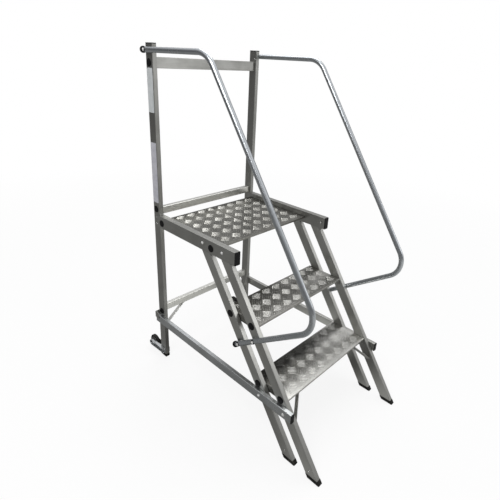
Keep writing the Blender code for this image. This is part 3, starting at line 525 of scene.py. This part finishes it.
def checker(name, node, group_middle, strips, material):
    """One piece with the raised bars of a plate, inside its plain strips."""
    low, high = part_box(node)
    inset = BAR_WIDTH / 2
    low_corner = (low.x + strips[0] + inset, low.y + strips[2] + inset)
    high_corner = (high.x - strips[1] - inset, high.y - strips[3] - inset)
    step_a = Vector((1, 1, 0)).normalized()
    step_b = Vector((-1, 1, 0)).normalized()
    bm = bmesh.new()
    reach = int(max(high.x - low.x, high.y - low.y) / CELL) + 2
    for i in range(-reach, reach + 1):
        for j in range(-reach, reach + 1):
            group = Vector((*group_middle, 0)) + step_a * (i * CELL) + step_b * (j * CELL)
            along, stack = (step_b, step_a) if (i + j) % 2 == 0 else (step_a, step_b)
            for k in range(BAR_COUNT):
                offset = (k - (BAR_COUNT - 1) / 2) * BAR_PITCH
                middle, length = clipped(group + stack * offset, along, low_corner, high_corner)
                if length > BAR_MINIMUM:
                    raised_bar(bm, middle, along, length, high.z)
    piece(name, bm, material, smooth_degrees=60)


def build_checker():
    for side_name, group_middle, strips in DECK_GROUPS:
        checker("deck_bars_" + side_name, "deck_plank_" + side_name, group_middle, strips,
                DECK_BARS)
    for node, group_x, material in (("middle_tread", MIDDLE_TREAD_GROUP_X, TREAD_BARS),
                                    ("lower_tread", LOWER_TREAD_GROUP_X, LOWER_BARS)):
        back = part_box(node)[1].y
        checker(node + "_bars", node, (group_x, back - TREAD_GROUP_BACK), TREAD_STRIPS, material)


def bend(before, corner, after, radius):
    """Points on the arc that rounds a corner."""
    inward, outward = (before - corner).normalized(), (after - corner).normalized()
    turn_angle = math.pi - inward.angle(outward)
    first = corner + inward * (radius * math.tan(turn_angle / 2))
    centre = corner + (inward + outward).normalized() * (radius / math.cos(turn_angle / 2))
    axis = (-inward).cross(outward).normalized()
    return [centre + Matrix.Rotation(turn_angle * i / BEND_STEPS, 3, axis) @ (first - centre)
            for i in range(BEND_STEPS + 1)]


def handrail_points():
    """Axis of a handrail at x 0, and where it crosses the front stile and the rear stile."""
    cross_front = Vector((0, stile_middle("front", HANDRAIL_LOW_Z), HANDRAIL_LOW_Z))
    cross_rear = cross_front - OFF_SLOPE * STILE_SPACING
    corner = cross_front + OFF_SLOPE * (HANDRAIL_REACH + SECTION_DEPTH / 2)
    slope_start = corner + UP_SLOPE * ((HANDRAIL_Z - corner.z) / UP_SLOPE.z)
    start = Vector((0, FRONT + SECTION_DEPTH / 2 + HANDRAIL_TAIL, HANDRAIL_Z))
    finish = cross_rear - OFF_SLOPE * HANDRAIL_END
    path = [start, *bend(start, slope_start, corner, UPPER_BEND),
            *bend(slope_start, corner, finish, LOWER_BEND), finish]
    return path, cross_front, cross_rear


def hollow_tube(bm, path, shift):
    """The wall of a handrail tube along a path at x 0, moved sideways by shift."""
    shells = [[], []]
    for i, point in enumerate(path):
        ahead = path[min(i + 1, len(path) - 1)] - path[max(i - 1, 0)]
        normal = X_AXIS.cross(ahead.normalized())
        for shell, radius in zip(shells, (TUBE_RADIUS, TUBE_RADIUS - TUBE_WALL)):
            shell.append([bm.verts.new(
                point + shift + X_AXIS * (radius * math.cos(2 * math.pi * n / TUBE_SIDES))
                + normal * (radius * math.sin(2 * math.pi * n / TUBE_SIDES)))
                for n in range(TUBE_SIDES)])
    for shell in shells:
        for first, second in zip(shell, shell[1:]):
            bridge(bm, first, second)
    for end in (0, -1):
        bridge(bm, shells[0][end], shells[1][end])


def end_cap(bm, tip, outward):
    """Round-nosed plastic cap that slips over the end of the tube."""
    across = outward.cross(X_AXIS).normalized()
    rings = []
    for reach, radius in CAP_PROFILE:
        rings.append([bm.verts.new(
            tip + outward * reach
            + X_AXIS * (radius * math.cos(2 * math.pi * n / CAP_SIDES))
            + across * (radius * math.sin(2 * math.pi * n / CAP_SIDES)))
            for n in range(CAP_SIDES)])
    for first, second in zip(rings, rings[1:]):
        bridge(bm, first, second)
    bm.faces.new(rings[-1])


def saddle(bm, centre, along, side):
    """Black washer that wraps the outside of the tube under a bolt head."""
    up = along.cross(X_AXIS * side).normalized()
    shells = []
    for lift in (SADDLE_LIFT, SADDLE_THICKNESS):
        rings = []
        for ring_index in range(SADDLE_RINGS + 1):
            share = SADDLE_HOLE + (1 - SADDLE_HOLE) * ring_index / SADDLE_RINGS
            ring = []
            for i in range(SADDLE_SIDES):
                angle = 2 * math.pi * i / SADDLE_SIDES
                wrap = SADDLE_SPREAD * share * math.sin(angle)
                radius = TUBE_RADIUS + lift
                ring.append(bm.verts.new(
                    centre + along * (SADDLE_LENGTH * share * math.cos(angle))
                    + X_AXIS * (side * radius * math.cos(wrap)) + up * (radius * math.sin(wrap))))
            rings.append(ring)
        for inner, outer in zip(rings, rings[1:]):
            bridge(bm, inner, outer)
        shells.append(rings)
    bridge(bm, shells[0][0], shells[1][0])
    bridge(bm, shells[0][-1], shells[1][-1])


def build_handrails():
    path, cross_front, cross_rear = handrail_points()
    upper = Vector((0, FRONT + SECTION_DEPTH / 2, HANDRAIL_Z))
    for side_name, side in SIDES:
        shift = X_AXIS * (side * HANDRAIL_X)
        bm = bmesh.new()
        hollow_tube(bm, path, shift)
        tube = piece("handrail_tube_" + side_name, bm, TUBE)
        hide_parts("handrail_" + side_name)
        bm = bmesh.new()
        for tip, inner in ((path[0], path[1]), (path[-1], path[-2])):
            end_cap(bm, tip + shift, (tip - inner).normalized())
        caps = piece("handrail_caps_" + side_name, bm, PLASTIC)
        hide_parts(*[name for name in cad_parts
                            if name.startswith("handrail_plug") and name.endswith(side_name)])
        bm = bmesh.new()
        for centre, along in ((upper, Y_AXIS), (cross_front, OFF_SLOPE), (cross_rear, OFF_SLOPE)):
            saddle(bm, centre + shift, along, side)
        piece("handrail_saddles_" + side_name, bm, PLASTIC)
        lift = X_AXIS * (side * (TUBE_RADIUS + SADDLE_THICKNESS))
        buttons("handrail_bolts_" + side_name, RIVET_PROFILE, HANDRAIL_BOLT_RADIUS,
                [place + shift + lift for place in (upper, cross_front, cross_rear)],
                X_AXIS * side, GLINT_BOLT)


def buttons(name, profile, radius, places, axis, material):
    """One piece that holds a button of the same turned profile at each place."""
    bm = bmesh.new()
    for place in places:
        turn(bm, [(share * radius, height) for share, height in profile], place, axis,
             BUTTON_SIDES)
    piece(name, bm, material, smooth_degrees=35)


def on_face(x, places):
    """Points at an x, from places that are (y from the uprights, z)."""
    return [Vector((x, FRONT + y, z)) for y, z in places]


def build_fasteners():
    for side_name, side in SIDES:
        out = X_AXIS * side
        plugs = on_face(side * OUTER_X, UPRIGHT_PLUGS)
        for tread, drop in TREAD_PLUG_DROPS:
            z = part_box(tread)[1].z - drop
            for which in ("front", "rear"):
                plugs.append(Vector((side * OUTER_X, stile_middle(which, z), z)))
        plugs += on_face(side * RAIL_X, RAIL_PLUGS)
        buttons("access_plugs_" + side_name, PLUG_PROFILE, PLUG_RADIUS, plugs, out, PLASTIC)
        bolts = on_face(side * RAIL_X, RAIL_BOLTS)
        bolts += on_face(side * BOTTOM_RAIL_X, BOTTOM_RAIL_BOLTS)
        buttons("rail_bolts_" + side_name, BOLT_PROFILE, RAIL_BOLT_RADIUS, bolts, out,
                GLINT_BOLT)
        on_frame = on_face(side * OUTER_X, UPRIGHT_RIVETS)
        on_frame += [Vector((side * OUTER_X, stile_middle(which, z), z))
                     for which, z in STILE_RIVETS]
        on_arm = on_face(side * (OUTER_X + ARM_WEB), ARM_RIVETS)
        inside = on_face(side * INNER_X, UPRIGHT_INNER_RIVETS)
        inside += on_face(side * (RAIL_INNER_X - RAIL_RIVET_GAP), RAIL_INNER_RIVETS)
        on_treads = []
        for tread in ("middle_tread", "lower_tread"):
            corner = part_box(tread)[1] - Vector(TREAD_RIVET_INSET)
            on_treads.append(Vector((side * corner.x, corner.y, corner.z)))
        for name, radius, places, axis in (
                ("frame_rivets_", FRAME_RIVET_RADIUS, on_frame, out),
                ("arm_rivets_", ARM_RIVET_RADIUS, on_arm, out),
                ("inner_rivets_", INNER_RIVET_RADIUS, inside, -out),
                ("tread_rivets_", TREAD_RIVET_RADIUS, on_treads, Z_AXIS)):
            buttons(name + side_name, RIVET_PROFILE, radius, places, axis, STEEL)


def label(name, low_z, high_z, material):
    """Blank sticker with round corners on the outer face of the left upright."""
    middle = Vector((-OUTER_X, FRONT + SECTION_DEPTH / 2, (low_z + high_z) / 2))
    half_y, half_z = LABEL_WIDTH / 2 - LABEL_CORNER, (high_z - low_z) / 2 - LABEL_CORNER
    outline = []
    for quarter, (sy, sz) in enumerate(((1, 1), (-1, 1), (-1, -1), (1, -1))):
        for step in range(LABEL_CORNER_STEPS + 1):
            angle = math.pi / 2 * (quarter + step / LABEL_CORNER_STEPS)
            outline.append((sy * half_y + LABEL_CORNER * math.cos(angle),
                            sz * half_z + LABEL_CORNER * math.sin(angle)))
    bm = bmesh.new()
    rings = [[bm.verts.new(middle + Vector((-lift, y, z))) for y, z in outline]
             for lift in (LABEL_UNDERSIDE, LABEL_FILM)]
    bridge(bm, rings[0], rings[1])
    bm.faces.new(rings[0])
    bm.faces.new(rings[1])
    piece(name, bm, material)


def tyre_outline(bore, radius, half):
    """Section of a tyre as (radius, distance), from its bore round both shoulders."""
    outline = [(bore, -half + TYRE_BORE_INSET)]
    for end in (-1, 1):
        for step in range(TYRE_STEPS + 1):
            share = step / TYRE_STEPS if end < 0 else 1 - step / TYRE_STEPS
            angle = math.pi / 2 * share
            outline.append((radius - TYRE_SHOULDER + TYRE_SHOULDER * math.sin(angle),
                            end * (half - TYRE_SHOULDER + TYRE_SHOULDER * math.cos(angle))))
    return outline + [(bore, half - TYRE_BORE_INSET)]


def rib(bm, centre, angle, hub_radius, half):
    """Stiffening rib on both faces of the hub's web, from the boss to the rim."""
    turn_matrix = Matrix.Rotation(angle, 3, X_AXIS)
    rib_end = hub_radius - RIB_END_INSET
    section = ((-RIB_HALF_THICKNESS, RIB_START), (RIB_HALF_THICKNESS, RIB_START),
               (RIB_HALF_THICKNESS, rib_end), (-RIB_HALF_THICKNESS, rib_end))
    for face in (-1, 1):
        loops = [[bm.verts.new(centre + turn_matrix @ Vector((face * x, y, z)))
                  for y, z in section] for x in (RIB_FOOT, half - RIB_FACE_INSET)]
        bridge(bm, loops[0], loops[1])
        bm.faces.new(loops[0])
        bm.faces.new(loops[1])


def build_wheels():
    for side_name, side in SIDES:
        body = "wheel_" + side_name
        low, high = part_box("tyre_" + side_name)
        centre, half, radius = (low + high) / 2, (high.x - low.x) / 2, (high.z - low.z) / 2
        hub_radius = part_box("wheel_hub_" + side_name)[1].z - centre.z
        bm = bmesh.new()
        turn(bm, tyre_outline(hub_radius + TYRE_BORE_GAP, radius, half), centre, X_AXIS,
             TYRE_SIDES, closed=True)
        tyre = piece("wheel_tyre_" + side_name, bm, RUBBER, body, 30)
        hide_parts("tyre_" + side_name)
        bm = bmesh.new()
        for i in range(HUB_RIBS):
            rib(bm, centre, 2 * math.pi * i / HUB_RIBS, hub_radius, half)
        piece("hub_ribs_" + side_name, bm, NYLON, body)


# ---- floor, light and camera -----------------------------------------------------------------
def floor_material():
    """Pale to the camera. The metal reflects it as a grey floor, brighter towards the front right
    and in a patch under the platform."""
    material = bpy.data.materials.new("pale_floor")
    material.use_nodes = True
    tree = material.node_tree
    tree.nodes.clear()
    place = add(tree, "ShaderNodeTexCoord").outputs["Object"]
    distance = add(tree, "ShaderNodeVectorMath", {0: place}, operation="LENGTH").outputs["Value"]
    shaded = add(tree, "ShaderNodeBsdfDiffuse", {"Color": FLOOR_COLOUR})
    glow = add(tree, "ShaderNodeEmission", {"Color": (1, 1, 1, 1), "Strength": 1.0})
    lift = add(tree, "ShaderNodeMixShader", {
        0: remap(tree, distance, *FLOOR_FADE, *FLOOR_GLOW),
        1: shaded.outputs[0], 2: glow.outputs[0]})
    way = add(tree, "ShaderNodeVectorMath", {0: place, 1: FLOOR_BRIGHT_WAY},
              operation="DOT_PRODUCT").outputs["Value"]
    level = math_node(tree, "MULTIPLY", remap(tree, way, *FLOOR_LEVELS),
                      remap(tree, distance, *FLOOR_SHADOW))
    from_patch = add(tree, "ShaderNodeVectorMath", {0: place, 1: FLOOR_PATCH},
                     operation="DISTANCE").outputs["Value"]
    level = math_node(tree, "ADD", level, remap(tree, from_patch, *FLOOR_PATCH_LEVELS))
    dim = add(tree, "ShaderNodeEmission", {"Color": FLOOR_WARMTH, "Strength": level})
    seen = add(tree, "ShaderNodeLightPath").outputs["Is Camera Ray"]
    both = add(tree, "ShaderNodeMixShader", {0: seen, 1: dim.outputs[0], 2: lift.outputs[0]})
    output = add(tree, "ShaderNodeOutputMaterial")
    tree.links.new(both.outputs[0], output.inputs["Surface"])
    return material


def build_floor():
    bm = bmesh.new()
    bmesh.ops.create_circle(bm, cap_ends=True, segments=FLOOR_SIDES, radius=FLOOR_RADIUS)
    mesh = bpy.data.meshes.new("floor")
    bm.to_mesh(mesh)
    bm.free()
    mesh.materials.append(floor_material())
    floor = bpy.data.objects.new("floor", mesh)
    bpy.context.scene.collection.objects.link(floor)


def build_world():
    """Studio surround: white behind the ladder, a soft gradient in what the metal reflects."""
    world = bpy.data.worlds.new("studio")
    bpy.context.scene.world = world
    world.use_nodes = True
    tree = world.node_tree
    tree.nodes.clear()
    direction = add(tree, "ShaderNodeTexCoord").outputs["Generated"]
    split = add(tree, "ShaderNodeSeparateXYZ", {0: direction})
    height, sideways = split.outputs["Z"], split.outputs["X"]
    ramp = add(tree, "ShaderNodeValToRGB", {0: remap(tree, height, -1.0, 1.0, 0.0, 1.0)})
    stops = ramp.color_ramp.elements
    for stop, (position, level) in zip(stops, (WORLD_LOWEST, WORLD_HIGHEST)):
        stop.position, stop.color = position, (level, level, level, 1)
    for position, level in WORLD_STOPS:
        stops.new(position).color = (level, level, level * WORLD_BLUE, 1)
    brightness = remap(tree, sideways, *WORLD_TURNOVER, WORLD_LEFT, WORLD_RIGHT)
    surround = add(tree, "ShaderNodeBackground", {"Color": ramp.outputs["Color"],
                                                  "Strength": brightness})
    white = add(tree, "ShaderNodeBackground", {"Color": (1, 1, 1, 1), "Strength": 1.0})
    seen = add(tree, "ShaderNodeLightPath").outputs["Is Camera Ray"]
    both = add(tree, "ShaderNodeMixShader", {0: seen, 1: surround.outputs[0], 2: white.outputs[0]})
    output = add(tree, "ShaderNodeOutputWorld")
    tree.links.new(both.outputs[0], output.inputs["Surface"])


def softbox(name, azimuth, elevation, distance, size, radiance):
    """Area light that points at the middle of the ladder. Azimuth 0 is at -Y, 90 at +X."""
    a, e = math.radians(azimuth), math.radians(elevation)
    way = Vector((math.sin(a) * math.cos(e), -math.cos(a) * math.cos(e), math.sin(e)))
    light = bpy.data.lights.new(name, "AREA")
    light.shape = "RECTANGLE"
    light.size, light.size_y = size
    light.energy = radiance * math.pi * size[0] * size[1]
    made = bpy.data.objects.new(name, light)
    made.location = LIGHT_TARGET + way * distance
    made.rotation_euler = (-way).to_track_quat("-Z", "Y").to_euler()
    made.visible_camera = False
    bpy.context.scene.collection.objects.link(made)


def build_camera():
    """At standing eye level, in front of the ladder and to its left, looking down on it."""
    azimuth, down, roll = CAMERA_AZIMUTH, CAMERA_DOWN, CAMERA_ROLL
    back = Vector((math.sin(azimuth) * math.cos(down), -math.cos(azimuth) * math.cos(down),
                   math.sin(down)))
    level_right = Vector((math.cos(azimuth), math.sin(azimuth), 0))
    level_up = back.cross(level_right)
    right = level_right * math.cos(roll) + level_up * math.sin(roll)
    up = level_up * math.cos(roll) - level_right * math.sin(roll)
    data = bpy.data.cameras.new("camera")
    data.sensor_width = CAMERA_SENSOR
    data.lens = CAMERA_LENS
    data.shift_x, data.shift_y = CAMERA_SHIFT
    data.clip_start, data.clip_end = CAMERA_CLIP
    camera = bpy.data.objects.new("camera", data)
    turn_matrix = Matrix((right, up, back)).transposed().to_4x4()
    camera.matrix_world = Matrix.Translation(CAMERA_PLACE) @ turn_matrix
    bpy.context.scene.collection.objects.link(camera)
    bpy.context.scene.camera = camera


build_checker()
build_handrails()
build_fasteners()
label("upper_label", *UPPER_LABEL, PALE_LABEL)
label("lower_label", *LOWER_LABEL, LILAC_LABEL)
build_wheels()
build_floor()
build_world()
for softbox_row in SOFTBOXES:
    softbox(*softbox_row)
build_camera()
bpy.context.scene.view_settings.view_transform = "Standard"
